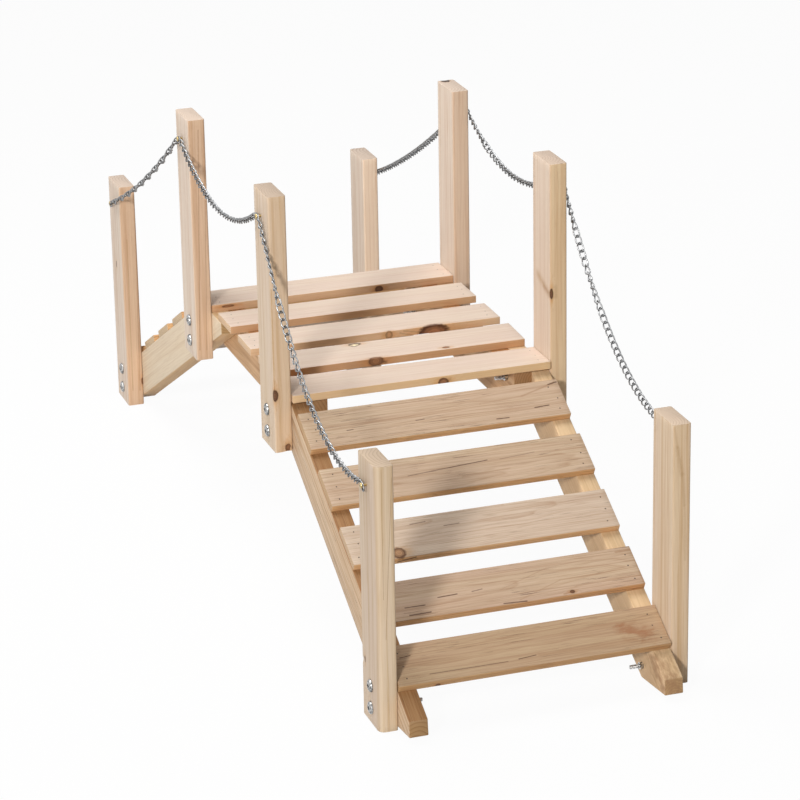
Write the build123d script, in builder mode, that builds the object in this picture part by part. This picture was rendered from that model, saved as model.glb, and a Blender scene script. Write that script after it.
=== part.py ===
from build123d import *
import math
import os

# Garden bridge of planed fir: a level deck, a ramp at each end, eight posts and a chain along each side.
# X runs across the bridge, Y along it with the near ramp at -Y, Z up from the ground.
# All lengths in millimetres, all angles in degrees.

# Walkway
walkway_width = 520
tread_end_clearance = 1
deck_height = 422
deck_length = 650
deck_board_count = 5
board_width = 91
board_thickness = 15
board_edge_radius = 2.5

# Stringers
stringer_thickness = 36
stringer_depth = 88
deck_stringer_inset = 10

# Ramps
ramp_slope = 28.4
ramp_break_inset = 21
ramp_lap_length = 140
tread_count = 5
first_tread_offset = 48.5
last_tread_setback = 65.5
toe_lift = 6
toe_face_height = 31

# Posts
post_length = 504
post_depth = 92
post_thickness = 35
post_edge_radius = 4
deck_post_inset = 51
deck_post_drop = 9
end_post_offset = 4

# Chains and the screws that carry them
wire_thickness = 2.6
link_width = 13.5
link_end_width = 11
link_pitch = 17.87
link_slack = 0.9
screw_link_ease = 0.4
span_slack_shares = (0.05, 0.03, 0.001)
chain_clearance = 0.4
screw_drop = 48
screw_diameter = 4.5
screw_head_diameter = 9
screw_head_height = 3
screw_head_bevel = 1.2
screw_sides = 8
screw_grip = 30
pilot_clearance = 0.2
sag_halvings = 40

# Heights and places that follow from these sizes
half_walkway = walkway_width / 2
tread_length = walkway_width - 2 * tread_end_clearance
deck_underside = deck_height - board_thickness
deck_board_pitch = (deck_length - board_width) / (deck_board_count - 1)
deck_post_reach = deck_length / 2 - deck_post_inset
deck_post_foot = deck_underside - stringer_depth - deck_post_drop

slope_sine = math.sin(math.radians(ramp_slope))
slope_cosine = math.cos(math.radians(ramp_slope))
slope_tangent = slope_sine / slope_cosine
ramp_break = deck_length / 2 - ramp_break_inset
lap_end = ramp_break - ramp_lap_length
underside_at_break = deck_underside - stringer_depth / slope_cosine
heel_reach = ramp_break + underside_at_break / slope_tangent
end_post_reach = heel_reach + end_post_offset

# The toe cut rises from the heel, and the toe's face stands square to it
toe_angle = math.radians(ramp_slope + toe_lift)
lift_angle = math.radians(toe_lift)
toe_cut_length = (stringer_depth - toe_face_height * math.cos(toe_angle)) / math.sin(toe_angle)
toe_foot = (
    heel_reach + toe_cut_length * math.cos(lift_angle),
    toe_cut_length * math.sin(lift_angle),
)
toe_top = (
    toe_foot[0] - toe_face_height * math.sin(lift_angle),
    toe_foot[1] + toe_face_height * math.cos(lift_angle),
)
ramp_length = (toe_top[0] - ramp_break) / slope_cosine
tread_run = ramp_length - first_tread_offset - last_tread_setback - board_width
tread_pitch = tread_run / (tread_count - 1)

SIDES = {"left": -1, "right": 1}
ENDS = {"near": -1, "far": 1}


def save(name, part):
    """Label one finished piece and write it to its own file."""
    part.label = name
    export_step(part, f"parts/{name}.step")


def screw_plane(point, x_sign):
    """The plane of a post's outer face at a chain screw, facing away from the walkway."""
    return Plane(point, x_dir=(0, 1, 0), z_dir=(x_sign, 0, 0))


def slat(middle_plane):
    """A board across the walkway, flat side down, with its two upper edges rounded."""
    with BuildPart() as board:
        with BuildSketch(middle_plane) as section:
            Rectangle(board_width, board_thickness)
            fillet(section.vertices().group_by(Axis.Y)[-1], board_edge_radius)
        extrude(amount=tread_length / 2, both=True)
    return board.part


os.makedirs("parts", exist_ok=True)

# Posts, each with a pilot hole for its chain screw in the outer face
for side, x_sign in SIDES.items():
    for end, y_sign in ENDS.items():
        for place, reach, foot in (
            ("deck", deck_post_reach, deck_post_foot),
            ("end", end_post_reach, 0),
        ):
            middle = x_sign * (half_walkway + post_thickness / 2)
            with BuildPart() as post:
                with BuildSketch(Plane((middle, y_sign * reach, foot))):
                    RectangleRounded(post_thickness, post_depth, post_edge_radius)
                extrude(amount=post_length)
                outer_face = x_sign * (half_walkway + post_thickness)
                screw_point = (outer_face, y_sign * reach, foot + post_length - screw_drop)
                with BuildSketch(screw_plane(screw_point, x_sign)):
                    RegularPolygon(screw_diameter / 2 + pilot_clearance, screw_sides)
                extrude(amount=-screw_grip - pilot_clearance, mode=Mode.SUBTRACT)
            save(f"{side}_{end}_{place}_post", post.part)

# Ramp stringers, lying against the posts' inner faces
for side, x_sign in SIDES.items():
    for end, y_sign in ENDS.items():
        lap_foot = underside_at_break + ramp_lap_length * slope_tangent
        outline = [
            (ramp_break, deck_underside),
            (lap_end, deck_underside),
            (lap_end, lap_foot),
            (heel_reach, 0),
            toe_foot,
            toe_top,
        ]
        outer_face = Plane((x_sign * half_walkway, 0, 0), x_dir=(0, y_sign, 0), z_dir=(y_sign, 0, 0))
        with BuildPart() as ramp_stringer:
            with BuildSketch(outer_face):
                with BuildLine():
                    Polyline(*outline, close=True)
                make_face()
            extrude(amount=stringer_thickness, dir=(-x_sign, 0, 0))
        save(f"{side}_{end}_ramp_stringer", ramp_stringer.part)

# Deck stringers, lying against the ramp stringers' inner faces
for side, x_sign in SIDES.items():
    deck_stringer_length = deck_length - 2 * deck_stringer_inset
    deck_stringer_middle = x_sign * (half_walkway - stringer_thickness * 3 / 2)
    with BuildPart() as deck_stringer:
        with BuildSketch(Plane((deck_stringer_middle, 0, deck_underside - stringer_depth))):
            Rectangle(stringer_thickness, deck_stringer_length)
        extrude(amount=stringer_depth)
    save(f"{side}_deck_stringer", deck_stringer.part)

# Deck boards, counted from the near end
for number in range(deck_board_count):
    board_middle = -deck_length / 2 + board_width / 2 + number * deck_board_pitch
    board_centre = (0, board_middle, deck_underside + board_thickness / 2)
    board_plane = Plane(board_centre, x_dir=(0, 1, 0), z_dir=(1, 0, 0))
    save(f"deck_board_{number + 1}", slat(board_plane))

# Ramp treads, counted from the deck down
for end, y_sign in ENDS.items():
    down_slope = (0, y_sign * slope_cosine, -slope_sine)
    for number in range(tread_count):
        along = first_tread_offset + number * tread_pitch + board_width / 2
        lift = board_thickness / 2
        tread_y = y_sign * (ramp_break + along * slope_cosine + lift * slope_sine)
        tread_z = deck_underside - along * slope_sine + lift * slope_cosine
        tread_plane = Plane((0, tread_y, tread_z), x_dir=down_slope, z_dir=(y_sign, 0, 0))
        save(f"{end}_ramp_tread_{number + 1}", slat(tread_plane))

# One chain link: a flat ring with six sides, its ends as wide as the bar of the next link needs
link_end = (link_pitch + link_slack) / 2 + wire_thickness
link_outline = [
    (link_end, link_end_width / 2),
    (0, link_width / 2),
    (-link_end, link_end_width / 2),
    (-link_end, -link_end_width / 2),
    (0, -link_width / 2),
    (link_end, -link_end_width / 2),
]
with BuildPart() as link:
    with BuildSketch():
        with BuildLine():
            Polyline(*link_outline, close=True)
        make_face()
        offset(amount=-wire_thickness, kind=Kind.INTERSECTION, mode=Mode.SUBTRACT)
    extrude(amount=wire_thickness / 2, both=True)

# Screws in the order the chain meets them, each as a place along the bridge and a height
end_screw_height = post_length - screw_drop
deck_screw_height = deck_post_foot + post_length - screw_drop
screw_points = [
    Vector(0, -end_post_reach, end_screw_height),
    Vector(0, -deck_post_reach, deck_screw_height),
    Vector(0, deck_post_reach, deck_screw_height),
    Vector(0, end_post_reach, end_screw_height),
]


def hanging_curve(start, finish, length):
    """The parabola of a given length between two points, found by halving the range of its sag."""
    middle = (start + finish) / 2
    least_sag = 0
    most_sag = length
    for _ in range(sag_halvings):
        sag = (least_sag + most_sag) / 2
        curve = Edge.make_bezier(start, middle - Vector(0, 0, 2 * sag), finish)
        if curve.length < length:
            least_sag = sag
        else:
            most_sag = sag
    return curve


def link_plane(first_joint, second_joint, upright):
    """The plane of a link between two joints: facing sideways, or turned upright a quarter turn."""
    along = (second_joint - first_joint).normalized()
    across = Vector(1, 0, 0)
    facing = across.cross(along) if upright else across
    return Plane((first_joint + second_joint) / 2, x_dir=along, z_dir=facing)


# The links on the screws hang from the shanks, tilted midway between the spans that they join
link_drop = link_width / 2 - wire_thickness - screw_diameter / 2 - chain_clearance
directions = [(b - a).normalized() for a, b in zip(screw_points, screw_points[1:])]
tilts = [
    (before + after).normalized()
    for before, after in zip(directions[:1] + directions, directions + directions[-1:])
]
holders = [
    (
        point - Vector(0, 0, link_drop) - tilt * (link_pitch / 2 - screw_link_ease),
        point - Vector(0, 0, link_drop) + tilt * (link_pitch / 2 - screw_link_ease),
    )
    for point, tilt in zip(screw_points, tilts)
]

# Between two such links an odd number of links hangs, so that every second one faces sideways
link_planes = [link_plane(first, second, False) for first, second in holders]
for (_, start), (finish, _), slack_share in zip(holders, holders[1:], span_slack_shares):
    needed = (finish - start).length * (1 + slack_share) / link_pitch
    span_links = 2 * math.ceil((needed - 1) / 2) + 1
    curve = hanging_curve(start, finish, span_links * link_pitch)
    joints = [curve @ (number / span_links) for number in range(span_links + 1)]
    for number, (first, second) in enumerate(zip(joints, joints[1:])):
        link_planes.append(link_plane(first, second, number % 2 == 0))

# One screw, standing on the post's outer face with its shank in the wood
chain_offset = link_width / 2 + chain_clearance
head_seat = chain_offset + wire_thickness / 2 + chain_clearance
with BuildPart() as screw:
    with BuildSketch(Plane.XY.offset(-screw_grip)):
        RegularPolygon(screw_diameter / 2, screw_sides)
    extrude(amount=screw_grip + head_seat)
    with BuildSketch(Plane.XY.offset(head_seat)):
        RegularPolygon(screw_head_diameter / 2, screw_sides)
    extrude(amount=screw_head_height)
    chamfer(screw.edges().group_by(Axis.Z)[-1], screw_head_bevel)

for side, x_sign in SIDES.items():
    outer_face = x_sign * (half_walkway + post_thickness)
    chain_shift = Location((outer_face + x_sign * chain_offset, 0, 0))
    with BuildPart() as chain:
        with Locations(*[chain_shift * plane.location for plane in link_planes]):
            add(link.part)
    save(f"{side}_chain", chain.part)
    with BuildPart() as screws:
        with Locations(*[screw_plane(point + Vector(outer_face, 0, 0), x_sign) for point in screw_points]):
            add(screw.part)
    save(f"{side}_chain_screws", screws.part)
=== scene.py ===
"""Garden bridge of planed fir: timbers, chains, screws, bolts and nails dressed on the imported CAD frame."""

import math
import random
from typing import NamedTuple

import bmesh
import bpy
import numpy as np
from mathutils import Matrix, Vector


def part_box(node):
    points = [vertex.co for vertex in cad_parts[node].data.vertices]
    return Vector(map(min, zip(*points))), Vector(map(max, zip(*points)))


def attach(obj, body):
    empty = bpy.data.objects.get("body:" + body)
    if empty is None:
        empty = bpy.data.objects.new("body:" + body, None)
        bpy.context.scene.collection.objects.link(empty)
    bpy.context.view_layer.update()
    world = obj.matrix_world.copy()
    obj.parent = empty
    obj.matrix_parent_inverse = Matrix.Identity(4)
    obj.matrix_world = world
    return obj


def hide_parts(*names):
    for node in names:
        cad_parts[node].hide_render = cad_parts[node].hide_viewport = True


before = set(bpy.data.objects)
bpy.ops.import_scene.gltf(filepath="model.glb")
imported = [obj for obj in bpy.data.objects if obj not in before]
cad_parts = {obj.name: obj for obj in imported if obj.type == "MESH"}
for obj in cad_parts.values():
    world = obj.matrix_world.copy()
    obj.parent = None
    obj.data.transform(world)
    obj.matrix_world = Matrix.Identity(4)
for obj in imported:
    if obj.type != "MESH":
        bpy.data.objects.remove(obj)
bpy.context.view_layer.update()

MM = 0.001
SIDES = {"left": -1, "right": 1}
ENDS = {"near": -1, "far": 1}
BOARDS = range(1, 6)

# Camera, as the photograph was taken
camera_place = Vector((-1.99126, -6.16687, 2.70394))
camera_look = Vector((0.29571, 0.88722, -0.35410)).normalized()
camera_right = Vector((0.94647, -0.32234, -0.01725)).normalized()
camera_up = camera_right.cross(camera_look)
focal_pixels = 3465.7
image_size = 800
image_middle = (401.7, 406.1)
sensor_width = 36

# Light and floor
key_lamp = dict(place=(-5.75, -7.5, 4.3), target=(0, -0.3, 0.4), size=1.4, power=590, colour=(1.0, 0.985, 0.965))
top_lamp = dict(place=(-1.06, 0.57, 4.0), target=(0, 0, 0.4), size=2.6, power=126, colour=(1.0, 1.0, 1.0))
world_colour = (1.0, 0.98, 0.96)
world_strength = 0.15
floor_reach = 14
floor_grey = 0.8
floor_whiteness = 0.955

# Timber edges, and how finely the timbers are divided
post_round = 4 * MM
worn_post_round = 12 * MM
deck_round = 1.2 * MM
tread_round = 2 * MM
under_round = 0.8 * MM
stringer_round = 2 * MM
end_round = 0.8 * MM
arc_steps = 4
section_cell = 7 * MM
ring_cell = 12 * MM
dent_cell = 2 * MM
wood_smooth = 35

# Chain links
wire_radius = 1.45 * MM
link_outer_width = 13.5 * MM
link_pitch = 15.65 * MM
link_play = 0.9 * MM
link_twist = math.radians(80)
link_points = 28
wire_sides = 8

# How far the links have turned about the chain, in degrees, at shares of the way along each span
span_turns = {
    "left": (
        ((0, 20), (0.1, 5), (0.26, -14), (0.43, -18), (0.66, -20), (0.71, -66), (0.79, -70),
         (0.82, 5), (0.88, 20), (0.93, 15), (0.96, -5), (1, 10)),
        ((0, 0), (0.05, 55), (0.25, 45), (0.42, 25), (0.56, 0), (0.66, -20), (0.82, -20), (1, 0)),
        ((0, 0), (1, 1750)),
    ),
    "right": (
        ((0, -35), (0.26, -42), (0.45, -55), (0.64, -70), (0.70, -20), (0.77, 5), (0.80, -60), (0.87, -72),
         (0.90, 0), (1, 15)),
        ((0, 0), (0.06, 50), (0.2, 35), (0.4, 12), (0.6, -15), (0.68, -25), (0.71, -62), (0.77, -65),
         (0.80, 5), (0.9, 15), (1, 10)),
        ((0, 0), (0.1, 60), (0.5, 50), (0.9, 45), (1, 0)),
    ),
}

# Links lie a little unevenly: how many degrees each rocks about its turn,
# and after how many links the rocking repeats
rocking = 7
rocking_links = 3

# How much painted shade darkens the inner side of a link's wire, and its ends where the links meet
link_inner_shade = 0.45
link_end_shade = 0.4

# Fasteners
bolt_heights = (30 * MM, 73 * MM)
low_bolts = {"right_near_end_post": 4 * MM}
bolt_head_radius = 12 * MM
bolt_head_height = 5.6 * MM
bolt_radius = 4 * MM
bolt_thread_depth = 0.6 * MM
bolt_thread_pitch = 1.25 * MM
bolt_reach = 25 * MM
short_bolt_reach = 9 * MM
bolt_recess = 6.5 * MM
nut_across_flats = 13 * MM
nut_height = 6.5 * MM
screw_drop = 48 * MM
screw_shank_radius = 2.2 * MM
screw_head_radius = 5.2 * MM
screw_recess = 2.6 * MM
screw_head_height = 3 * MM
tread_nail_radius = 1.5 * MM
deck_nail_radius = 1.1 * MM
nail_proud = 0.12 * MM
nail_sink = 0.4 * MM
round_sides = 24
thread_sides = 16
nail_sides = 12

# Rings of a domed head: lean in degrees, and painted shade
dome_leans = ((25, 0), (45, 0), (62, 0), (74, 0.1))

# Nails: distance from a board's end in millimetres, and shares of its half width, with how far both stray
nail_inset = 18
nail_scatter = 5
nail_shares = (-0.62, 0.02, 0.6)
nail_drift = 0.08


class Look(NamedTuple):
    """One kind of wood: colours as linear light, factors for edges (tone and painted light and shade) and ends, and
    how strong its figure is.
    """

    pale: tuple
    rosy: tuple
    warm: tuple
    edge: tuple
    end: tuple
    ring_gap: tuple
    rings: float
    stripes: float
    lines: float
    dashes: float
    rough: float


straw_post = Look(
    pale=(0.71, 0.585, 0.445), rosy=(0.70, 0.57, 0.455), warm=(0.58, 0.42, 0.27),
    edge=(1.05, 0.975, 0.86), end=(0.71, 0.68, 0.69),
    ring_gap=(4.5, 7.0), rings=0.35, stripes=0.55, lines=0.25, dashes=0.06, rough=0.2,
)
worn_post = straw_post._replace(
    pale=(0.62, 0.505, 0.385), rosy=(0.61, 0.49, 0.39), warm=(0.50, 0.36, 0.23),
    edge=(1.16, 1.15, 1.06), end=(0.97, 0.93, 0.90),
)
rosy_post = straw_post._replace(
    pale=(0.765, 0.655, 0.55), rosy=(0.75, 0.63, 0.53), warm=(0.62, 0.46, 0.34),
    edge=(0.99, 0.84, 0.69), end=(0.84, 0.80, 0.78),
)
# The posts' edge factors set their narrow faces lighter or darker than the wide ones: partly tone, partly painted
# light and shade
post_looks = {
    "left_near_end_post": worn_post,
    "left_near_deck_post": straw_post,
    "right_near_end_post": straw_post._replace(end=(0.98, 0.94, 0.95), stripes=0.8, lines=0.35),
    "right_near_deck_post": rosy_post._replace(
        pale=(0.735, 0.61, 0.495), rosy=(0.72, 0.58, 0.48), edge=(1.10, 1.0, 0.78)),
    "right_far_deck_post": rosy_post._replace(edge=(1.03, 0.91, 0.80)),
    "right_far_end_post": rosy_post._replace(edge=(1.25, 1.16, 1.06), stripes=0.4),
}
deck_look = Look(
    pale=(0.75, 0.62, 0.51), rosy=(0.73, 0.59, 0.495), warm=(0.62, 0.455, 0.34),
    edge=(0.86, 0.62, 0.40), end=(0.95, 0.82, 0.64),
    ring_gap=(3.5, 6.0), rings=0.25, stripes=0.25, lines=0.3, dashes=0.12, rough=0.2,
)
# The deck boards' edge factors set their front and back edges lighter or darker: partly tone, partly painted shade in
# the gaps
deck_looks = {
    1: deck_look._replace(edge=(1.08, 0.94, 0.65)),
    3: deck_look._replace(edge=(1.04, 0.86, 0.62)),
    5: deck_look._replace(edge=(0.94, 0.72, 0.51)),
}
# The treads' edge factor lightens their narrow faces: partly tone, partly painted light
tread_look = Look(
    pale=(0.615, 0.475, 0.33), rosy=(0.58, 0.425, 0.305), warm=(0.425, 0.275, 0.17),
    edge=(1.20, 0.97, 0.66), end=(0.88, 0.775, 0.635),
    ring_gap=(2.6, 4.4), rings=0.5, stripes=0.3, lines=0.45, dashes=0.75, rough=0.45,
)
far_tread_look = tread_look._replace(end=(1.02, 1.0, 0.93))
tread_looks = {
    3: tread_look._replace(pale=(0.67, 0.55, 0.43), rosy=(0.64, 0.505, 0.39), warm=(0.455, 0.31, 0.21), dashes=0.4),
    4: tread_look._replace(pale=(0.59, 0.45, 0.315), rosy=(0.56, 0.40, 0.29)),
    5: tread_look._replace(
        pale=(0.51, 0.37, 0.23), rosy=(0.48, 0.33, 0.21), warm=(0.38, 0.235, 0.135), edge=(1.1, 0.95, 0.72)),
}
ramp_look = Look(
    pale=(0.67, 0.52, 0.37), rosy=(0.64, 0.48, 0.33), warm=(0.47, 0.30, 0.17),
    edge=(0.60, 0.44, 0.28), end=(0.58, 0.44, 0.27),
    ring_gap=(4.0, 6.5), rings=0.55, stripes=0.6, lines=0.4, dashes=0.7, rough=0.3,
)
# The ramp stringers' edge factors set their top and bottom faces lighter or darker: partly tone, partly painted light
# and shade
ramp_looks = {
    "left_far_ramp_stringer": ramp_look._replace(
        pale=(0.77, 0.655, 0.50), rosy=(0.74, 0.61, 0.45), warm=(0.60, 0.45, 0.30),
        edge=(0.85, 0.68, 0.48), rings=0.3, stripes=0.4, lines=0.2, dashes=0.1),
    # This stringer's top face is painted lighter to lift the shade between the treads: painted light
    "right_near_ramp_stringer": ramp_look._replace(
        pale=(0.76, 0.55, 0.34), rosy=(0.72, 0.51, 0.31), warm=(0.55, 0.36, 0.19),
        edge=(0.98, 0.99, 0.97), end=(0.66, 0.57, 0.44),
        rings=0.3, stripes=0.25, lines=0.25, dashes=0.15),
}
beam_look = ramp_look._replace(
    pale=(0.66, 0.44, 0.25), rosy=(0.62, 0.39, 0.21), warm=(0.45, 0.25, 0.12), end=(0.62, 0.54, 0.45), dashes=0.25)

# Colours of marks in the wood, as linear light
umber = (0.09, 0.04, 0.02)
pore_brown = (0.22, 0.11, 0.05)
brown = (0.33, 0.18, 0.09)
resin = (0.42, 0.25, 0.11)
russet = (0.33, 0.15, 0.075)
knot_brown = (0.13, 0.055, 0.025)
knot_red = (0.28, 0.13, 0.06)
knot_deep = (0.30, 0.125, 0.055)
knot_tan = (0.48, 0.26, 0.12)
knot_rim = (0.085, 0.028, 0.01)
knot_glow = (0.88, 0.70, 0.50)
knot_pale = (0.80, 0.66, 0.45)
bark = (0.045, 0.022, 0.012)

# The post with one worn edge, and the number of that edge
worn_edge = ("left_near_end_post", 2)

# Noise over the wood: how fast it changes along, across and through the grain, per millimetre
wander_noise = (0.003, 0.016, 0.016)
ragged_noise = (0.16, 0.3, 0.3)
band_noise = (0.0015, 0.02, 0.02)
stripe_noise = (0.002, 0.12, 0.12)
fibre_noise = (0.007, 0.5, 0.5)
vein_noise = (0.003, 0.11, 0.11)
hatch_noise = (0.02, 0.36, 0.36)
pore_noise = (0.007, 0.8, 0.8)
dash_noise = (0.016, 0.6, 0.6)
patch_noise = (0.006, 0.02, 0.02)
mottle_noise = (0.05, 0.11, 0.11)
saw_noise = (0.9, 0.06, 0.06)

# How dark a growth ring is from its early to its late wood, where the ramps' pith lies, and how saw marks slant
ring_tones = ((0.0, 0.05), (0.5, 0.12), (0.8, 0.55), (0.92, 1.0), (1.0, 0.05))
ramp_pith = (0, 2, -12)
saw_slant = math.radians(50)
knot_ring_gap = 0.17

# Knots by pixel of the photograph: place, half length along the grain and half width in millimetres,
# heart colour and strength of the dark rim
knots = {
    "deck_board_5": [((379, 289), 9, 7, knot_brown, 0.5), ((228, 306), 14, 3, knot_red, 0.2)],
    "deck_board_3": [((434, 336), 31, 17, knot_deep, 1), ((389, 335), 8, 9, knot_tan, 0.15)],
    "deck_board_2": [
        ((354.5, 346), 14, 7, knot_pale, 1),
        ((376, 361), 16, 11, knot_red, 0.35),
        ((446, 347.5), 8, 5, knot_red, 0.3),
    ],
    "deck_board_1": [((443.5, 382), 10, 8, knot_red, 0.9)],
    "near_ramp_tread_3": [((399, 553), 13, 12, brown, 0.9)],
    "near_ramp_tread_4": [((572.5, 591.5), 5, 4, knot_brown, 0.4)],
    "near_ramp_tread_5": [((438, 685), 5, 4, knot_brown, 0.5)],
    "left_near_deck_post": [((275, 396), 12, 7, knot_brown, 0.4), ((288.5, 448), 9, 7, knot_red, 0.3)],
    "left_near_end_post": [((365, 659), 7, 4, knot_brown, 0.4)],
    "left_far_end_post": [((116.5, 264), 8, 3, knot_brown, 0.3), ((143, 381), 9, 4, knot_red, 0.3)],
    "right_near_deck_post": [((551.5, 294), 11, 4, knot_brown, 0.3)],
    "right_far_deck_post": [((445.5, 81), 9, 9, bark, 1)],
}

# Streaks by pixel: where each starts and ends, half width in millimetres, strength and colour
streaks = {
    "near_ramp_tread_1": [
        ((312, 433), (480, 404), 1.6, 0.35, brown),
        ((480, 404), (522, 396), 2.6, 0.45, brown),
        ((522, 396), (554, 382.5), 3.2, 0.65, brown),
        ((548, 384.5), (556, 382), 2.2, 0.9, umber),
        ((535, 407.5), (549, 405), 1.7, 0.95, umber),
        ((497, 419), (509, 417.5), 1.7, 0.9, umber),
        ((416, 420.5), (424, 419), 1.5, 0.7, umber),
        ((347, 430.5), (353, 429.5), 1.5, 0.8, umber),
    ],
    "near_ramp_tread_2": [
        ((408, 476), (447, 468), 1.2, 0.7, umber),
        ((447, 468), (487, 460), 1.4, 0.85, umber),
        ((462, 477), (510, 468), 1.6, 0.4, brown),
        ((500, 459), (534, 452), 1.2, 0.45, umber),
    ],
    "near_ramp_tread_3": [
        ((404, 517), (500, 500), 7, 0.35, russet),
        ((410, 524.5), (425, 521.5), 1.2, 0.7, umber),
        ((444, 525.5), (459, 523), 1.2, 0.7, umber),
        ((398, 562), (416, 557), 2.2, 0.85, umber),
    ],
    "near_ramp_tread_4": [
        ((438, 597.5), (457, 594), 1.7, 0.9, umber),
        ((472, 591.5), (482, 589), 1.4, 0.7, umber),
        ((405, 608), (425, 605), 1.5, 0.85, umber),
        ((410, 615.5), (431, 612), 2.0, 0.9, umber),
        ((504, 603.5), (527, 601), 1.7, 0.85, umber),
        ((564, 594), (572, 592), 2.2, 0.6, brown),
        ((616, 552), (634, 549), 4.0, 0.75, brown),
        ((634, 550), (644, 583), 3.0, 0.5, brown),
        ((520, 600), (560, 580), 1.3, 0.35, brown),
        ((560, 580), (640, 566), 1.3, 0.35, brown),
        ((545, 603), (577, 586), 1.3, 0.35, brown),
        ((577, 586), (642, 575), 1.3, 0.35, brown),
        ((500, 590), (546, 568), 1.2, 0.3, brown),
        ((546, 568), (592, 558), 1.2, 0.3, brown),
    ],
    "near_ramp_tread_5": [
        ((519, 659), (536, 655), 1.4, 0.85, umber),
        ((430, 674), (508, 661.5), 1.2, 0.7, umber),
        ((400, 658), (410, 655.5), 1.5, 0.8, umber),
        ((540, 655), (636, 640), 7, 0.45, brown),
        ((626, 629), (646, 635), 26, 0.8, brown),
        ((624, 628), (648, 634), 17, 0.7, russet),
    ],
    "right_near_end_post": [
        ((674.5, 428), (677.5, 448), 4, 0.4, resin),
        ((677.5, 448), (682.5, 474), 7, 0.5, resin),
        ((682.5, 474), (684.5, 505), 5, 0.45, resin),
        ((684.5, 505), (685, 560), 3, 0.35, resin),
    ],
    "right_near_deck_post": [
        ((538, 274), (548.5, 293), 14, 0.6, resin),
        ((544, 286), (548.5, 293), 9, 0.4, russet),
        ((555, 287), (555, 297), 7, 0.4, resin),
    ],
    "deck_board_2": [((379, 361), (386, 362), 5, 0.8, umber)],
    "deck_board_1": [((446, 380), (450, 379.5), 5, 0.6, resin)],
    "deck_board_3": [((400, 333), (412, 335), 2, 0.4, brown), ((404, 331), (418, 332), 2, 0.4, brown)],
    # Painted shade: a broad brown patch darkens the toe top of this stringer
    "right_near_ramp_stringer": [((655, 662), (674, 690), 36, 0.85, brown)],
    "left_near_deck_post": [
        ((252.5, 183), (253.5, 206), 2.5, 0.8, umber),
        ((271, 290), (274.5, 396), 2.2, 0.6, resin),
        ((279, 195), (281, 300), 1.2, 0.3, brown),
    ],
    "left_near_end_post": [
        ((391.5, 478), (386, 640), 0.9, 0.5, brown),
        ((381, 470), (383.5, 600), 0.9, 0.4, brown),
        ((371, 480), (373, 700), 1.4, 0.4, resin),
    ],
    "left_far_deck_post": [((198, 130), (200, 350), 1.4, 0.45, russet), ((204, 125), (207, 350), 1.2, 0.4, russet)],
    "left_far_end_post": [((136, 215), (140, 390), 2.2, 0.35, russet), ((127, 240), (133, 390), 2.0, 0.35, resin)],
}

# Half widths in millimetres under which a streak is crisp, and over which it is blotchy
fine_streak = 2.5
broad_streak = 15

# Dents where wood is broken away: pixel, and reach and depth in millimetres
dents = {
    "left_near_deck_post": [((288.5, 449), 12, 4)],
    "right_far_deck_post": [((445.5, 81), 9, 5)],
    "deck_board_2": [((354, 346.5), 11, 2)],
    "left_near_end_post": [((363.5, 660), 8, 2)],
}

# Boards that have twisted: how far the far edge stands up, in millimetres, at the left end, middle and right end
lifts = {"deck_board_1": (6, 0.8, 0), "deck_board_2": (4, 3.4, 3.2)}


# Photograph and timbers

class Timber:
    """A straight piece of wood: its middle, its axes along the grain, across and through, and half its sizes."""

    def __init__(self, node, along, across):
        along = Vector(along).normalized()
        across = Vector(across).normalized()
        self.node = node
        self.axes = np.array([along, across, along.cross(across)])
        places = np.array([v.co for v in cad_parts[node].data.vertices]) @ self.axes.T
        self.half = (places.max(0) - places.min(0)) / 2
        self.middle = self.axes.T @ (places.max(0) + places.min(0)) / 2
        self.narrow = 1 if self.half[1] > self.half[2] else 2

    def to_world(self, points):
        return self.middle + np.asarray(points) @ self.axes

    def to_local(self, point):
        return self.axes @ (np.array(point) - self.middle)

    def seen_at(self, pixel):
        """Where a pixel of the photograph falls on this timber: the point in its axes, and the face's axis."""
        across = (pixel[0] - image_middle[0]) / focal_pixels
        down = (pixel[1] - image_middle[1]) / focal_pixels
        ray = self.axes @ np.array(camera_look + across * camera_right - down * camera_up)
        start = self.to_local(camera_place)
        entries = (-np.sign(ray) * self.half - start) / ray
        face = int(entries.argmax())
        return np.clip(start + entries[face] * ray, -self.half, self.half), face


# Mesh building

class Shape:
    """Points and faces gathered for one piece, with a painted shade at each point that darkens hollows, joints and
    recesses.
    """

    def __init__(self):
        self.points = []
        self.faces = []
        self.shades = []

    def rings(self, rings, close_start=False, close_end=False, loop=False, shades=0):
        """Faces between rings of equal count; shades are one for all, one a ring or one a point."""
        base = len(self.points)
        count = len(rings[0])
        self.points.extend(tuple(p) for ring in rings for p in ring)
        shades = np.asarray(shades, float)
        if shades.ndim == 1:
            shades = shades[:, None]
        self.shades.extend(np.broadcast_to(shades, (len(rings), count)).ravel())
        last = len(rings) if loop else len(rings) - 1
        for r in range(last):
            after = (r + 1) % len(rings)
            for i in range(count):
                j = (i + 1) % count
                corners = (r * count + i, r * count + j, after * count + j, after * count + i)
                self.faces.append(tuple(base + c for c in corners))
        if close_start:
            self.faces.append(tuple(base + i for i in reversed(range(count))))
        if close_end:
            self.faces.append(tuple(base + (len(rings) - 1) * count + i for i in range(count)))

    def to_object(self, name, material, slot, smooth=40):
        mesh = bpy.data.meshes.new(name)
        mesh.from_pydata(self.points, [], self.faces)
        # The painted shade of each point goes on the mesh
        shade = mesh.attributes.new("shade", "FLOAT", "POINT")
        shade.data.foreach_set("value", np.array(self.shades, np.float32))
        return finish_mesh(mesh, name, material, smooth)


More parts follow.
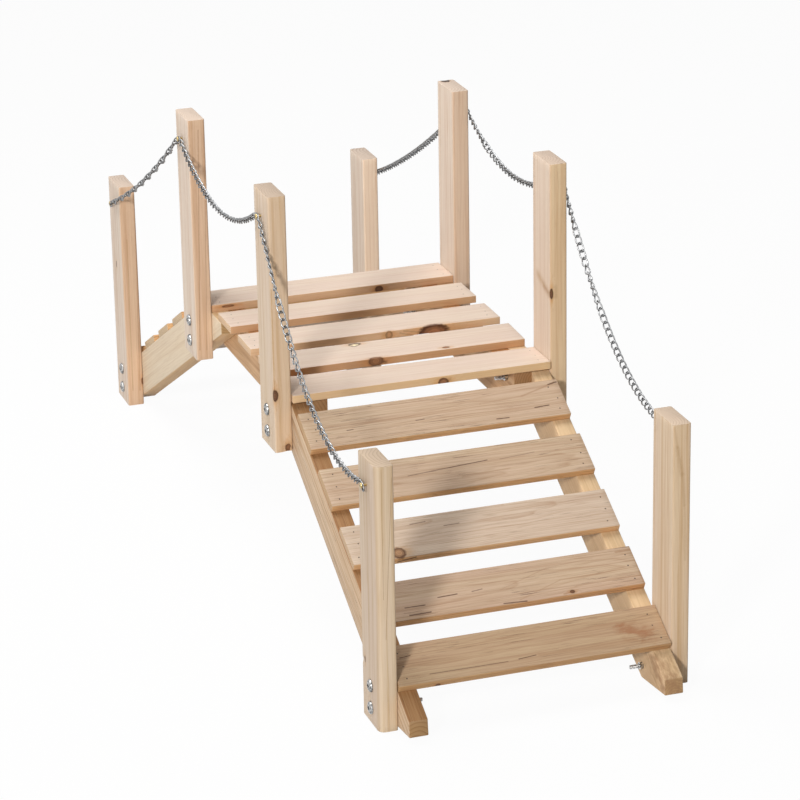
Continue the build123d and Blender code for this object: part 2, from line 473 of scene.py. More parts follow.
def finish_mesh(mesh, name, material, smooth):
    """Turn the faces outward, shade them, and hang the piece on the bridge."""
    work = bmesh.new()
    work.from_mesh(mesh)
    bmesh.ops.recalc_face_normals(work, faces=work.faces)
    work.to_mesh(mesh)
    work.free()
    mesh.shade_smooth()
    mesh.set_sharp_from_angle(angle=math.radians(smooth))
    mesh.materials.append(material)
    piece = bpy.data.objects.new(name, mesh)
    bpy.context.scene.collection.objects.link(piece)
    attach(piece, "root")
    return piece


def rounded_section(half_across, half_through, radii):
    """Points and outward normals round a rectangle whose four corners are rounded."""
    corners = ((1, -1), (1, 1), (-1, 1), (-1, -1))
    points, normals = [], []
    for number, ((sx, sy), radius) in enumerate(zip(corners, radii)):
        centre = np.array((sx * (half_across - radius), sy * (half_through - radius)))
        for step in range(arc_steps + 1):
            angle = (number - 1 + step / arc_steps) * math.pi / 2
            normal = np.array((math.cos(angle), math.sin(angle)))
            points.append(centre + radius * normal)
            normals.append(normal)
        next_sx, next_sy = corners[(number + 1) % 4]
        next_radius = radii[(number + 1) % 4]
        turn = number * math.pi / 2
        side = np.array((math.cos(turn), math.sin(turn)))
        finish = np.array((next_sx * (half_across - next_radius), next_sy * (half_through - next_radius)))
        finish = finish + next_radius * side
        begin = points[-1]
        pieces = max(1, round(np.linalg.norm(finish - begin) / section_cell))
        for share in range(1, pieces):
            points.append(begin + (finish - begin) * share / pieces)
            normals.append(side)
    return np.array(points), np.array(normals)


def ring_places(half_along, dented):
    """Places of the rings along a timber, closer together where it is dented."""
    count = max(2, round(2 * half_along / ring_cell))
    inner = half_along - end_round
    places = set(np.round(np.linspace(-inner, inner, count + 1), 6))
    for place, reach in dented:
        for step in np.arange(-reach, reach, dent_cell):
            if abs(place + step) < inner:
                places.add(round(float(place + step), 6))
    return sorted(places)


def make_timber(timber, material, radii):
    """A timber with rounded long edges, eased ends and any dents, standing for its CAD node."""
    section, normals = rounded_section(timber.half[1], timber.half[2], radii)
    hurt = dents.get(timber.node, ())
    marks = [(*timber.seen_at(pixel), reach * MM, depth * MM) for pixel, reach, depth in hurt]
    places = ring_places(timber.half[0], [(point[0], reach) for point, _, reach, _ in marks])
    bevels = ((timber.half[0], end_round), (timber.half[0] - end_round * 0.3, end_round * 0.3))
    rows = [(-u, inset) for u, inset in bevels] + [(u, 0) for u in places]
    rows += [(u, inset) for u, inset in reversed(bevels)]
    board_lifts = lifts.get(timber.node, (0, 0, 0))
    rings = []
    for along, inset in rows:
        flat = section - normals * inset
        ring = np.column_stack((np.full(len(flat), along), flat))
        for point, _, reach, depth in marks:
            share = np.clip(1 - np.linalg.norm(ring - point, axis=1) / reach, 0, 1)
            ring[:, 1:] -= normals * (depth * share * (2 - share))[:, None]
        lift = np.interp(along, (-timber.half[0], 0, timber.half[0]), board_lifts)
        ring[:, 2] += lift * MM * (ring[:, 1] / timber.half[1] + 1) / 2
        rings.append(ring)
    shape = Shape()
    shape.rings([timber.to_world(ring) for ring in rings], close_start=True, close_end=True)
    mesh = bpy.data.meshes.new(f"{timber.node}_wood")
    mesh.from_pydata(shape.points, [], shape.faces)
    finish_timber(mesh, timber, material)


def make_cut_timber(timber, material, radius):
    """A timber with sloping cuts: its CAD shape with every edge eased, standing for its node."""
    work = bmesh.new()
    work.from_mesh(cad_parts[timber.node].data)
    bmesh.ops.remove_doubles(work, verts=work.verts, dist=0.01 * MM)
    bmesh.ops.dissolve_limit(work, angle_limit=math.radians(1), verts=work.verts, edges=work.edges)
    bmesh.ops.bevel(work, geom=work.edges[:], offset=radius, segments=3, profile=0.5, affect="EDGES")
    mesh = bpy.data.meshes.new(f"{timber.node}_wood")
    work.to_mesh(mesh)
    work.free()
    finish_timber(mesh, timber, material)


def finish_timber(mesh, timber, material):
    """Keep each point's place in the timber's own axes, which the wood's figure follows, and replace the CAD node."""
    places = np.array([timber.to_local(v.co) for v in mesh.vertices])
    grain = mesh.attributes.new("grain", "FLOAT_VECTOR", "POINT")
    grain.data.foreach_set("vector", places.astype(np.float32).ravel())
    piece = finish_mesh(mesh, f"{timber.node}_wood", material, wood_smooth)
    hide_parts(timber.node)


# Materials

class Nodes:
    """Shorthand for building one material's node tree."""

    def __init__(self, name):
        self.material = bpy.data.materials.new(name)
        self.material.use_nodes = True
        self.tree = self.material.node_tree
        self.shader = self.tree.nodes["Principled BSDF"]

    def new(self, kind, *inputs, **settings):
        node = self.tree.nodes.new(f"ShaderNode{kind}")
        for key, value in settings.items():
            setattr(node, key, value)
        for socket, value in zip(node.inputs, inputs):
            self.give(socket, value)
        return node

    def give(self, socket, value):
        if value is None:
            return
        if isinstance(value, bpy.types.NodeSocket):
            self.tree.links.new(value, socket)
        else:
            socket.default_value = value

    def math(self, operation, a, b=None, c=None, clamp=False):
        return self.new("Math", a, b, c, operation=operation, use_clamp=clamp).outputs[0]

    def vector(self, operation, a, b=None, scale=None):
        node = self.new("VectorMath", a, b, operation=operation)
        if scale is not None:
            node.inputs["Scale"].default_value = scale
        return node.outputs["Value" if operation in ("LENGTH", "DOT_PRODUCT") else "Vector"]

    def noise(self, place, stretch, detail=2.0, rough=0.5, colour=False):
        """Noise over a place that is stretched by a factor along each axis."""
        node = self.new("TexNoise", self.vector("MULTIPLY", place, stretch))
        node.inputs["Scale"].default_value = 1
        node.inputs["Detail"].default_value = detail
        node.inputs["Roughness"].default_value = rough
        return node.outputs["Color" if colour else "Fac"]

    def between(self, value, low, high, to_low=0.0, to_high=1.0):
        node = self.new("MapRange", value, low, high, to_low, to_high, interpolation_type="SMOOTHSTEP")
        return node.outputs[0]

    def mix(self, share, a, b, blend="MIX"):
        node = self.tree.nodes.new("ShaderNodeMix")
        node.data_type = "RGBA"
        node.blend_type = blend
        for socket, value in zip((node.inputs[0], node.inputs[6], node.inputs[7]), (share, a, b)):
            self.give(socket, (*value, 1) if isinstance(value, tuple) else value)
        return node.outputs[2]

    def ramp(self, share, stops):
        node = self.new("ValToRGB", share)
        while len(node.color_ramp.elements) < len(stops):
            node.color_ramp.elements.new(0.5)
        for element, (place, value) in zip(node.color_ramp.elements, stops):
            element.position = place
            element.color = (value, value, value, 1)
        return node.outputs["Color"]

    def bump(self, height, strength, distance):
        node = self.new("Bump")
        node.inputs["Strength"].default_value = strength
        node.inputs["Distance"].default_value = distance
        self.give(node.inputs["Height"], height)
        self.give(self.shader.inputs["Normal"], node.outputs["Normal"])


def knot_fields(n, place, ragged, timber):
    """For each knot: the distance from its middle, where one is its edge, a longer halo, its heart and rim."""
    fields = []
    for pixel, long_half, wide_half, heart, rim in knots.get(timber.node, ()):
        point, face = timber.seen_at(pixel)
        sizes = [long_half, wide_half, wide_half]
        sizes[face] = max(4, wide_half * 0.8)
        offset = n.vector("SUBTRACT", place, tuple(point / MM))
        span = n.vector("MULTIPLY", offset, tuple(1 / size for size in sizes))
        far = n.math("ADD", n.vector("LENGTH", span), n.math("MULTIPLY", ragged, 0.5))
        halo = n.math("ADD", n.vector("LENGTH", n.vector("MULTIPLY", span, (0.4, 0.75, 0.75))), ragged)
        fields.append((far, halo, heart, rim))
    return fields


def streak_field(n, place, timber, start, finish, half_width):
    """How far each point is from the line between two pixels, where one is the streak's edge."""
    begin = timber.seen_at(start)[0] / MM
    run = timber.seen_at(finish)[0] / MM - begin
    offset = n.vector("SUBTRACT", place, tuple(begin))
    along = n.vector("DOT_PRODUCT", offset, tuple(run / (run @ run)))
    reached = n.new("VectorMath", tuple(run), operation="SCALE")
    n.give(reached.inputs["Scale"], n.math("ADD", along, 0.0, clamp=True))
    away = n.vector("LENGTH", n.vector("SUBTRACT", offset, reached.outputs["Vector"]))
    return n.math("DIVIDE", away, half_width)


def growth_rings(n, place, apart, chance, pith, ring_gap, fields):
    """Late wood in rings round a pith that leans a little, pushed aside by the knots."""
    pith = pith or (0, chance.uniform(-30, 30), chance.choice((-1, 1)) * chance.uniform(25, 70))
    lean = (0, math.radians(chance.uniform(-1.4, 1.4)), math.radians(chance.uniform(-1.4, 1.4)))
    turned = n.new("Mapping", place, pith, lean).outputs[0]
    wander = n.vector("SUBTRACT", n.noise(apart, wander_noise, detail=3, colour=True), (0.5, 0.5, 0.5))
    wander = n.vector("MULTIPLY", wander, (0, 18, 18))
    radius = n.vector("LENGTH", n.vector("MULTIPLY", n.vector("ADD", turned, wander), (0, 1, 1)))
    for _, halo, _, _ in fields:
        radius = n.math("ADD", radius, n.between(halo, 0.3, 1.8, 7, 0))
    turn = n.math("FRACT", n.math("DIVIDE", radius, chance.uniform(*ring_gap)))
    return n.ramp(turn, ring_tones)


def grain_colour(n, apart, late, fibre, look):
    """Rings, broad bands, stripes, fine lines and veins along the grain, and saw marks slanting over rough faces."""
    band = n.between(n.noise(apart, band_noise), 0.36, 0.64)
    stripe = n.between(n.noise(apart, stripe_noise), 0.44, 0.68)
    line = n.between(fibre, 0.46, 0.68)
    course = n.math("SUBTRACT", n.noise(apart, vein_noise), 0.5)
    vein = n.between(n.math("ABSOLUTE", course), 0.003, 0.03, 1, 0)
    tone = n.math("MULTIPLY", late, look.rings)
    tone = n.math("ADD", tone, n.math("MULTIPLY", stripe, look.stripes))
    tone = n.math("ADD", tone, n.math("MULTIPLY", n.math("ADD", line, vein), look.lines * 0.7), clamp=True)
    colour = n.mix(tone, n.mix(band, look.pale, look.rosy), look.warm)
    slanted = n.new("Mapping", apart, (0, 0, 0), (0, 0, saw_slant), hatch_noise).outputs[0]
    hatch = n.noise(slanted, (1, 1, 1), detail=1)
    return n.mix(n.between(hatch, 0.48, 0.62, 0, 0.35 * look.rough), colour, look.warm)


def edges_and_ends(n, timber, late, look, colour):
    """The narrow faces in their own tone and painted light and shade, and end grain on the sawn ends."""
    normal = n.new("NewGeometry").outputs["Normal"]
    edge_face = n.math("ABSOLUTE", n.vector("DOT_PRODUCT", normal, tuple(timber.axes[timber.narrow])))
    # Painted light and shade: the edge factor sets the narrow faces lighter or darker, along with their own tone
    colour = n.mix(n.between(edge_face, 0.35, 0.95), colour, n.mix(1.0, colour, look.edge, "MULTIPLY"))
    end_face = n.between(n.math("ABSOLUTE", n.vector("DOT_PRODUCT", normal, tuple(timber.axes[0]))), 0.55, 0.85)
    end_pale = tuple(a * b for a, b in zip(look.pale, look.end))
    end_warm = tuple(a * b * 0.8 for a, b in zip(look.warm, look.end))
    return n.mix(end_face, colour, n.mix(n.math("MULTIPLY", late, 0.75), end_pale, end_warm))


def draw_streaks(n, timber, place, apart, fibre, ragged, colour):
    """The streaks and patches seen on one timber."""
    blur = n.math("MULTIPLY_ADD", fibre, 0.9, -0.45)
    mottle = n.math("MULTIPLY_ADD", n.noise(apart, mottle_noise, detail=4, rough=0.6), 3.0, -1.5)
    for start, finish, half_width, strength, stain in streaks.get(timber.node, ()):
        far = n.math("ADD", streak_field(n, place, timber, start, finish, half_width), blur)
        far = n.math("ADD", far, mottle if half_width > broad_streak else ragged)
        soft = 0.25 if half_width < fine_streak else -0.3
        colour = n.mix(n.between(far, soft, 1.15, strength, 0), colour, stain)
    return colour


def draw_knots(n, fields, dash, colour):
    """Knots with a glow round them, rings inside and a broken dark rim."""
    for far, halo, heart, strength in fields:
        colour = n.mix(n.between(halo, 0.35, 1.25, 0.8, 0), colour, n.mix(1.0, colour, knot_glow, "MULTIPLY"))
        lighter, darker, darkest = (tuple(c * factor for c in heart) for factor in (1.4, 0.7, 0.5))
        core = n.mix(n.between(far, 0.1, 0.9), lighter, darker)
        ring = n.math("PINGPONG", far, knot_ring_gap)
        inside = n.mix(n.between(ring, 0.3 * knot_ring_gap, 0.9 * knot_ring_gap, 0, 0.45), core, darkest)
        colour = n.mix(n.between(far, 0.85, 1.0, 0.97, 0), colour, inside)
        rim = n.math("MULTIPLY", n.between(far, 0.6, 0.85), n.between(far, 0.95, 1.2, 1, 0))
        rim = n.math("MULTIPLY", rim, n.between(dash, 0.35, 0.55, 0.35 * strength, strength))
        colour = n.mix(rim, colour, bark if heart in (bark, knot_pale) else knot_rim)
    return colour


def fir(timber, look, seed, pith=None):
    """Fir cut from its own place in a log: growth rings, fibres, pores, dashes, streaks, knots and end grain."""
    chance = random.Random(seed)
    n = Nodes(f"{timber.node}_fir")
    place = n.vector("SCALE", n.new("Attribute", attribute_name="grain").outputs["Vector"], scale=1 / MM)
    apart = n.vector("ADD", place, tuple(chance.uniform(-900, 900) for _ in range(3)))
    ragged = n.math("MULTIPLY_ADD", n.noise(apart, ragged_noise, detail=3), 0.7, -0.35)
    fields = knot_fields(n, place, ragged, timber)
    late = growth_rings(n, place, apart, chance, pith, look.ring_gap, fields)
    fibre = n.noise(apart, fibre_noise, detail=4, rough=0.62)
    pores = n.between(n.noise(apart, pore_noise, detail=1), 0.58, 0.64, 0, 0.4 * look.dashes)
    dash = n.noise(apart, dash_noise, rough=0.55)
    patch = n.noise(apart, patch_noise, detail=1)
    dashes = n.math("MULTIPLY", n.between(dash, 0.645, 0.675), n.between(patch, 0.42, 0.54))

    colour = grain_colour(n, apart, late, fibre, look)
    colour = n.mix(pores, colour, pore_brown)
    colour = n.mix(n.math("MULTIPLY", dashes, look.dashes), colour, umber)
    colour = edges_and_ends(n, timber, late, look, colour)
    colour = draw_streaks(n, timber, place, apart, fibre, ragged, colour)
    n.give(n.shader.inputs["Base Color"], draw_knots(n, fields, dash, colour))

    height = n.math("MULTIPLY_ADD", fibre, 0.9, n.math("MULTIPLY", late, 0.5))
    height = n.math("ADD", height, n.math("MULTIPLY", n.noise(apart, saw_noise), look.rough))
    height = n.math("SUBTRACT", height, n.math("MULTIPLY", dashes, 1.2))
    n.bump(height, 0.4, 0.35 * MM)
    n.give(n.shader.inputs["Roughness"], n.math("MULTIPLY_ADD", fibre, 0.22, 0.5))
    n.shader.inputs["Specular IOR Level"].default_value = 0.3
    return n.material


def plated(name, bright, dull, roughness):
    """Zinc plating: a bright metal with dull blotches and fine scratches, darkened by painted shade where its points
    carry a shade.
    """
    n = Nodes(name)
    place = n.vector("SCALE", n.new("NewGeometry").outputs["Position"], scale=1 / MM)
    blotch = n.noise(place, (0.3, 0.3, 0.3), detail=4, rough=0.6)
    scratch = n.noise(place, (1.4, 1.4, 0.3))
    metal = n.mix(n.between(blotch, 0.38, 0.62), bright, dull)
    # Painted shade: the points' shade mixes the metal towards a dark copy of its dull colour
    shade = n.new("Attribute", attribute_name="shade").outputs["Fac"]
    n.give(n.shader.inputs["Base Color"], n.mix(shade, metal, tuple(c * 0.12 for c in dull)))
    n.give(n.shader.inputs["Roughness"], n.math("MULTIPLY_ADD", blotch, 0.25, roughness))
    n.shader.inputs["Metallic"].default_value = 1
    n.bump(scratch, 0.2, 0.08 * MM)
    return n.material


def nail_steel():
    """Bare wire nails, dark with tarnish."""
    n = Nodes("nail_steel")
    place = n.vector("SCALE", n.new("NewGeometry").outputs["Position"], scale=1 / MM)
    tarnish = n.noise(place, (0.8, 0.8, 0.8), detail=3)
    n.give(n.shader.inputs["Base Color"], n.mix(tarnish, (0.05, 0.035, 0.025), (0.16, 0.12, 0.09)))
    n.give(n.shader.inputs["Roughness"], n.math("MULTIPLY_ADD", tarnish, 0.3, 0.45))
    n.shader.inputs["Metallic"].default_value = 0.6
    n.bump(tarnish, 0.3, 0.1 * MM)
    return n.material


# Timbers

def posts(side):
    """The end, the place and the node of each post on one side."""
    return [(end, place, f"{side}_{end}_{place}_post") for end in ENDS for place in ("deck", "end")]


def make_posts():
    for side in SIDES:
        for end, place, node in posts(side):
            timber = Timber(node, (0, 0, 1), (0, 1, 0))
            look = post_looks.get(node, rosy_post)
            radii = [post_round] * 4
            if node == worn_edge[0]:
                radii[worn_edge[1]] = worn_post_round
            make_timber(timber, fir(timber, look, f"post {side} {end} {place}"), radii)


def make_deck():
    for number in BOARDS:
        timber = Timber(f"deck_board_{number}", (1, 0, 0), (0, 1, 0))
        look = deck_looks.get(number, deck_look)
        radii = (under_round, deck_round, deck_round, under_round)
        make_timber(timber, fir(timber, look, f"deck {number}"), radii)
    for side in SIDES:
        timber = Timber(f"{side}_deck_stringer", (0, 1, 0), (0, 0, 1))
        make_timber(timber, fir(timber, beam_look, f"deck stringer {side}"), [stringer_round] * 4)


def down_slope(end):
    """The way down a ramp, from the middles of its first and last treads."""
    middles = [sum(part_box(f"{end}_ramp_tread_{number}"), Vector()) / 2 for number in (BOARDS[0], BOARDS[-1])]
    return (middles[1] - middles[0]).normalized()


def make_ramps():
    for end, y_sign in ENDS.items():
        slope = down_slope(end)
        for number in BOARDS:
            timber = Timber(f"{end}_ramp_tread_{number}", (-y_sign, 0, 0), slope * -1)
            look = tread_looks.get(number, tread_look) if end == "near" else far_tread_look
            radii = (under_round, tread_round, tread_round, under_round)
            make_timber(timber, fir(timber, look, f"tread {end} {number}"), radii)
        for side in SIDES:
            timber = Timber(f"{side}_{end}_ramp_stringer", slope, (1, 0, 0))
            look = ramp_looks.get(timber.node, ramp_look)
            wood = fir(timber, look, f"ramp stringer {side} {end}", pith=ramp_pith)
            make_cut_timber(timber, wood, stringer_round)


# Chains

def islands(mesh):
    """The points of each separate solid in a mesh."""
    work = bmesh.new()
    work.from_mesh(mesh)
    bmesh.ops.remove_doubles(work, verts=work.verts, dist=0.001 * MM)
    left = set(work.verts)
    groups = []
    while left:
        front = [left.pop()]
        group = []
        while front:
            vertex = front.pop()
            group.append(vertex.co.copy())
            for edge in vertex.link_edges:
                other = edge.other_vert(vertex)
                if other in left:
                    left.remove(other)
                    front.append(other)
        groups.append(np.array(group))
    work.free()
    return groups


def link_places(node):
    """The middle and direction of each link of a CAD chain, in order along the bridge."""
    places = []
    for group in islands(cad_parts[node].data):
        spread = np.cov((group - group.mean(0)).T)
        values, vectors = np.linalg.eigh(spread)
        along = vectors[:, int(values.argmax())]
        if along[1] < 0:
            along = -along
        places.append((group.mean(0), along))
    return sorted(places, key=lambda entry: entry[0][1])


def add_link(shape, middle, along, turn, twist):
    """One link of round wire, bent to an oval, turned about the chain and twisted along its length."""
    half_width = link_outer_width / 2 - wire_radius
    half_length = (link_pitch + link_play) / 2 + wire_radius
    straight = half_length - half_width
    across = np.array((1.0, 0.0, 0.0))
    upright = np.cross(along, across)
    turns = np.arange(link_points) * 2 * math.pi / link_points
    x = half_width * np.cos(turns) + straight * np.tanh(4 * np.cos(turns))
    y = half_width * np.sin(turns)
    angle = turn + twist * x / (2 * half_length)
    line = middle + np.outer(x, along)
    line = line + np.outer(y * np.cos(angle), upright) + np.outer(y * np.sin(angle), across)
    forward = np.roll(line, -1, axis=0) - np.roll(line, 1, axis=0)
    forward /= np.linalg.norm(forward, axis=1)[:, None]
    outward = line - middle
    outward -= forward * (outward * forward).sum(1)[:, None]
    outward /= np.linalg.norm(outward, axis=1)[:, None]
    sideways = np.cross(forward, outward)
    spokes = np.arange(wire_sides) * 2 * math.pi / wire_sides
    rings = [
        point + wire_radius * (np.outer(np.cos(spokes), out) + np.outer(np.sin(spokes), side))
        for point, out, side in zip(line, outward, sideways)
    ]
    # Painted shade: darker on the inner side of the wire and towards the ends where the links meet
    inner_side = np.clip(-np.cos(spokes), 0, 1)
    near_joint = np.clip(np.abs(x) / half_length, 0, 1) ** 4
    shades = np.clip(link_inner_shade * inner_side[None, :] + link_end_shade * near_joint[:, None], 0, 1)
    shape.rings(rings, loop=True, shades=shades)


def span_line(places, start, finish):
    """Middles and directions of links at about the photograph's pitch, evenly along the CAD links of one span."""
    line = np.array([middle for middle, _ in places if start - MM < middle[1] < finish + MM])
    reach = np.concatenate(([0], np.linalg.norm(np.diff(line, axis=0), axis=1).cumsum()))
    marks = np.linspace(0, reach[-1], round(reach[-1] / link_pitch) + 1)
    middles = np.column_stack([np.interp(marks, reach, line[:, axis]) for axis in range(3)])
    alongs = np.gradient(middles, axis=0)
    return middles, alongs / np.linalg.norm(alongs, axis=1)[:, None]


def make_chains(material):
    for side in SIDES:
        places = link_places(f"{side}_chain")
        screw_ys = sorted(sum(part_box(node), Vector()).y / 2 for _, _, node in posts(side))
        held = [min(places, key=lambda entry: abs(entry[0][1] - y)) for y in screw_ys]
        shape = Shape()
        for middle, along in held:
            add_link(shape, middle, along, 0, 0)
        for span, turns in enumerate(span_turns[side]):
            middles, alongs = span_line(places, held[span][0][1], held[span + 1][0][1])
            shares, degrees = zip(*turns)
            for number in range(1, len(middles) - 1):
                share = (middles[number][1] - middles[0][1]) / (middles[-1][1] - middles[0][1])
                rock = rocking * math.sin(2 * math.pi * number / rocking_links)
                turn = math.radians(float(np.interp(share, shares, degrees)) + rock)
                add_link(shape, middles[number], alongs[number], turn, link_twist)
        piece = shape.to_object(f"{side}_chain_links", material, "zinc_chain", smooth=60)
        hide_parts(f"{side}_chain")


# Fasteners

class Turned:
    """Rings of a turned part standing on a face: its foot, its axis away from the face, and two ways across."""

    def __init__(self, foot, axis, first=(0.0, 0.0, 1.0)):
        self.foot = np.array(foot, float)
        self.axis = np.array(axis, float)
        self.first = np.array(first)
        self.second = np.cross(self.axis, self.first)

    def ring(self, radius, height, sides=round_sides):
        """A ring at a height; radius and height may follow the angle."""
        angles = np.arange(sides) * 2 * math.pi / sides
        spread = np.array([radius(a) if callable(radius) else radius for a in angles])
        rise = np.array([height(a) if callable(height) else height for a in angles])
        across = np.outer(np.cos(angles), self.first) + np.outer(np.sin(angles), self.second)
        return self.foot + across * spread[:, None] + np.outer(rise, self.axis)


def cross_recess(reach):
    """The radius of a four-armed driver recess at an angle."""
    return lambda angle: reach * (0.34 + 0.66 * abs(math.cos(2 * angle)) ** 3)


def hexagon(across_flats):
    """The radius of a hexagon at an angle."""
    return lambda angle: across_flats / 2 / math.cos((angle % (math.pi / 3)) - math.pi / 6)


def add_domed_head(shape, foot, axis, radius, height, recess):
    """A low domed head with a four-armed recess, with painted shade at its foot and in the recess."""
    turned = Turned(foot, axis)
    rings = [
        turned.ring(radius * 0.97, 0),
        turned.ring(radius, height * 0.12),
        turned.ring(radius * 0.99, height * 0.26),
    ]
    # Painted shade: darkest at the foot, where the head meets the wood
    shades = [0.8, 0.4, 0.2]
    for lean, shade in dome_leans:
        share = math.radians(lean)
        brim = radius * math.cos(share) ** 0.8
        rings.append(turned.ring(brim, height * (0.26 + 0.74 * math.sin(share))))
        shades.append(shade)
    reach = cross_recess(recess)
    edge = lambda a: min(reach(a), brim * 0.97)
    rings.append(turned.ring(edge, height))
    rings.append(turned.ring(lambda a: edge(a) * 0.9, height * 0.85))
    rings.append(turned.ring(lambda a: reach(a) * 0.4, height * 0.2))
    # Painted shade fills the recess
    shape.rings(rings, close_start=True, close_end=True, shades=shades + [0.5, 1, 1])


def add_nut_and_thread(shape, foot, axis, reach):
    """A hexagon nut with rounded corners, and the bolt's threaded end beyond it."""
    turned = Turned(foot, axis)
    flat = nut_across_flats / 2
    outline = hexagon(nut_across_flats)
    slope = lambda angle: (outline(angle) - flat) * math.tan(math.radians(30))
    rings = [
        turned.ring(bolt_radius * 0.9, 0),
        turned.ring(flat * 0.96, 0),
        turned.ring(outline, slope),
        turned.ring(outline, lambda angle: nut_height - slope(angle)),
        turned.ring(flat * 0.96, nut_height),
        turned.ring(bolt_radius * 1.12, nut_height),
        turned.ring(bolt_radius * 0.9, nut_height - 1 * MM),
    ]
    shape.rings(rings, close_start=True, close_end=True)
    start = nut_height - 2 * MM
    count = int((reach - start) / (bolt_thread_pitch / 4))
    rings = []
    for step in range(count + 1):
        height = start + step * bolt_thread_pitch / 4
        taper = min(1.0, (reach - height) / (1.5 * MM))

        def thread(angle):
            phase = (height / bolt_thread_pitch + angle / (2 * math.pi)) % 1
            return (bolt_radius - bolt_thread_depth * abs(2 * phase - 1)) * (0.8 + 0.2 * taper)

        rings.append(turned.ring(thread, height, thread_sides))
    shape.rings(rings, close_start=True, close_end=True)


def make_bolts(head_metal, nut_metal):
    for side, x_sign in SIDES.items():
        heads, nuts = Shape(), Shape()
        for end, place, node in posts(side):
            low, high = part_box(node)
            inner_node = f"{side}_deck_stringer" if place == "deck" else f"{side}_{end}_ramp_stringer"
            inner_low, inner_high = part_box(inner_node)
            outer = high.x if x_sign > 0 else low.x
            inner = inner_low.x if x_sign > 0 else inner_high.x
            reach = short_bolt_reach if (side, place) == ("left", "deck") else bolt_reach
            y = (low.y + high.y) / 2
            head_sizes = (bolt_head_radius, bolt_head_height, bolt_recess)
            for height in bolt_heights:
                z = low.z + height - low_bolts.get(node, 0)
                add_domed_head(heads, (outer, y, z), (x_sign, 0, 0), *head_sizes)
                add_nut_and_thread(nuts, (inner, y, z), (-x_sign, 0, 0), reach)
        heads.to_object(f"{side}_bolt_heads", head_metal, "zinc_chain", smooth=35)
        nuts.to_object(f"{side}_bolt_nuts", nut_metal, "zinc_chain", smooth=30)


def make_chain_screws(material):
    for side, x_sign in SIDES.items():
        low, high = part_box(f"{side}_chain_screws")
        tip = high.x if x_sign > 0 else low.x
        shape = Shape()
        for _, _, node in posts(side):
            post_low, post_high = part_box(node)
            outer = post_high.x if x_sign > 0 else post_low.x
            y, z = (post_low.y + post_high.y) / 2, post_high.z - screw_drop
            turned = Turned((outer, y, z), (x_sign, 0, 0))
            length = abs(tip - outer) - screw_head_height
            heights = (-2 * MM, length * 0.5, length + 0.5 * MM)
            rings = [turned.ring(screw_shank_radius, height) for height in heights]
            shape.rings(rings, close_start=True, close_end=True)
            foot = (outer + x_sign * length, y, z)
            add_domed_head(shape, foot, (x_sign, 0, 0), screw_head_radius, screw_head_height, screw_recess)
        piece = shape.to_object(f"{side}_chain_screw_heads", material, "yellow_zinc", smooth=35)
        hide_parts(f"{side}_chain_screws")


def make_nails(material):
    chance = random.Random("nails")
    groups = {"deck": [f"deck_board_{number}" for number in BOARDS]}
    for end in ENDS:
        groups[f"{end}_ramp"] = [f"{end}_ramp_tread_{number}" for number in BOARDS]
    for group, boards in groups.items():
        shape = Shape()
        slope = Vector((0, 1, 0)) if group == "deck" else down_slope(group.split("_")[0])
        for board in boards:
            timber = Timber(board, (1, 0, 0), slope)
            up = timber.axes[2] if timber.axes[2][2] > 0 else -timber.axes[2]
            for x_sign in SIDES.values():
                for share in nail_shares:
                    inset = (nail_inset + chance.uniform(-nail_scatter, nail_scatter)) * MM
                    along = x_sign * (timber.half[0] - inset)
                    across = timber.half[1] * (share + chance.uniform(-nail_drift, nail_drift))
                    foot = timber.to_world((along, across, 0)) + up * timber.half[2]
                    add_nail(shape, foot, up, deck_nail_radius if group == "deck" else tread_nail_radius)
        shape.to_object(f"{group}_nails", material, "zinc_chain", smooth=40)


def add_nail(shape, foot, up, radius):
    """A nail head a hair above the wood, with a sunk middle."""
    turned = Turned(foot, up, (1.0, 0.0, 0.0))
    profile = ((1, -nail_sink), (1, nail_proud * 0.6), (0.85, nail_proud), (0.6, nail_proud * 0.5))
    rings = [turned.ring(radius * share, height, nail_sides) for share, height in profile]
    shape.rings(rings, close_start=True, close_end=True)


# Stage

def make_camera():
    camera = bpy.data.cameras.new("camera")
    camera.sensor_width = sensor_width
    camera.lens = focal_pixels / image_size * sensor_width
    camera.shift_x = 0.5 - image_middle[0] / image_size
    camera.shift_y = image_middle[1] / image_size - 0.5
    holder = bpy.data.objects.new("camera", camera)
    turn = Matrix((camera_right, camera_up, -camera_look)).transposed().to_4x4()
    holder.matrix_world = Matrix.Translation(camera_place) @ turn
    bpy.context.scene.collection.objects.link(holder)
    bpy.context.scene.camera = holder


def add_area(name, place, target, size, power, colour):
    lamp = bpy.data.lights.new(name, "AREA")
    lamp.shape = "DISK"
    lamp.size = size
    lamp.energy = power
    lamp.color = colour
    holder = bpy.data.objects.new(name, lamp)
    holder.location = place
    holder.rotation_euler = (Vector(target) - Vector(place)).to_track_quat("-Z", "Y").to_euler()
    bpy.context.scene.collection.objects.link(holder)


def seen_directly(tree):
    """One where a camera, mirror or glass ray arrives, and nought for the light that falls on things."""
    path = tree.nodes.new("ShaderNodeLightPath")
    total = path.outputs["Is Camera Ray"]
    for output in ("Is Glossy Ray", "Is Transmission Ray"):
        add = tree.nodes.new("ShaderNodeMath")
        add.operation = "ADD"
        add.use_clamp = True
        tree.links.new(total, add.inputs[0])
        tree.links.new(path.outputs[output], add.inputs[1])
        total = add.outputs[0]
    return total


def mix_where_seen(tree, share, lit, seen, output):
    """Mix the shader that lights things with the one that is seen, and give the mix to the output."""
    mix = tree.nodes.new("ShaderNodeMixShader")
    tree.links.new(share, mix.inputs[0])
    tree.links.new(lit.outputs[0], mix.inputs[1])
    tree.links.new(seen.outputs[0], mix.inputs[2])
    tree.links.new(mix.outputs[0], tree.nodes[output].inputs["Surface"])


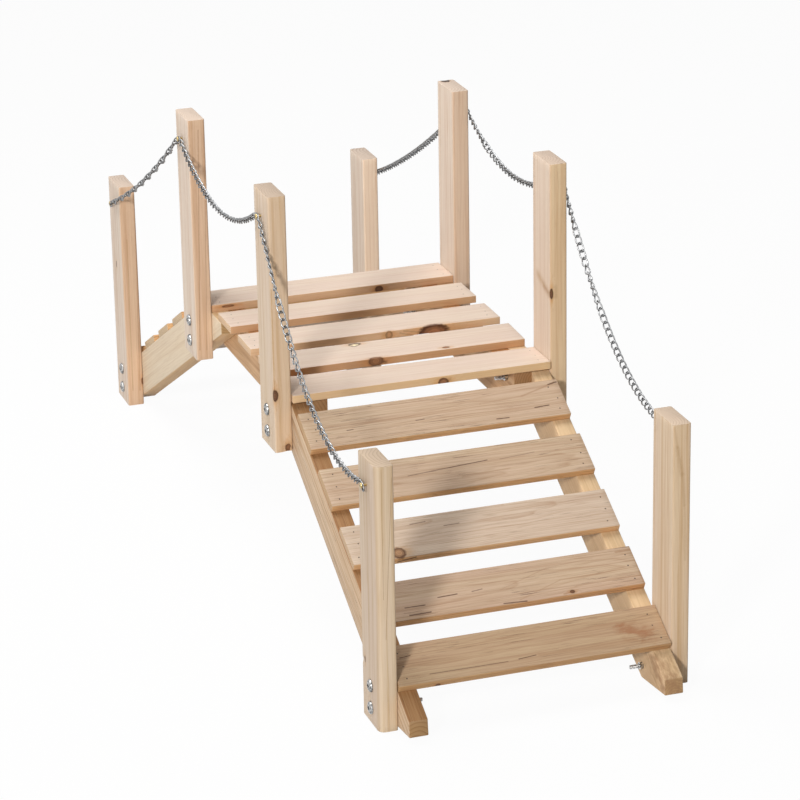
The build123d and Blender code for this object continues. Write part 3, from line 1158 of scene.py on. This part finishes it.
def make_world():
    world = bpy.data.worlds.new("studio")
    bpy.context.scene.world = world
    world.use_nodes = True
    tree = world.node_tree
    lit = tree.nodes["Background"]
    lit.inputs["Color"].default_value = (*world_colour, 1)
    lit.inputs["Strength"].default_value = world_strength
    seen = tree.nodes.new("ShaderNodeBackground")
    seen.inputs["Color"].default_value = (1, 1, 1, 1)
    seen.inputs["Strength"].default_value = 1
    mix_where_seen(tree, seen_directly(tree), lit, seen, "World Output")


def make_floor():
    """A white floor that keeps a soft shadow."""
    mesh = bpy.data.meshes.new("floor")
    corners = [(x * floor_reach, y * floor_reach, 0) for x, y in ((-1, -1), (1, -1), (1, 1), (-1, 1))]
    mesh.from_pydata(corners, [], [(0, 1, 2, 3)])
    material = bpy.data.materials.new("floor_white")
    material.use_nodes = True
    tree = material.node_tree
    plain = tree.nodes["Principled BSDF"]
    plain.inputs["Base Color"].default_value = (floor_grey, floor_grey, floor_grey, 1)
    plain.inputs["Roughness"].default_value = 0.9
    plain.inputs["Specular IOR Level"].default_value = 0
    glow = tree.nodes.new("ShaderNodeEmission")
    glow.inputs["Color"].default_value = (1, 1, 1, 1)
    share = tree.nodes.new("ShaderNodeMath")
    share.operation = "MULTIPLY"
    tree.links.new(seen_directly(tree), share.inputs[0])
    share.inputs[1].default_value = floor_whiteness
    mix_where_seen(tree, share.outputs[0], plain, glow, "Material Output")
    mesh.materials.append(material)
    floor = bpy.data.objects.new("floor", mesh)
    bpy.context.scene.collection.objects.link(floor)


make_posts()
make_deck()
make_ramps()
make_chains(plated("chain_zinc", bright=(0.41, 0.415, 0.42), dull=(0.19, 0.193, 0.198), roughness=0.2))
make_bolts(
    plated("head_zinc", bright=(0.58, 0.58, 0.57), dull=(0.14, 0.14, 0.14), roughness=0.2),
    # The nuts' plating is brighter than the heads': a painted highlight
    plated("nut_zinc", bright=(0.78, 0.78, 0.77), dull=(0.26, 0.26, 0.26), roughness=0.2),
)
make_chain_screws(plated("yellow_zinc", bright=(0.70, 0.55, 0.27), dull=(0.38, 0.27, 0.11), roughness=0.22))
make_nails(nail_steel())

make_camera()
make_floor()
make_world()
add_area("key", **key_lamp)
add_area("top", **top_lamp)

bpy.context.scene.view_settings.view_transform = "Standard"
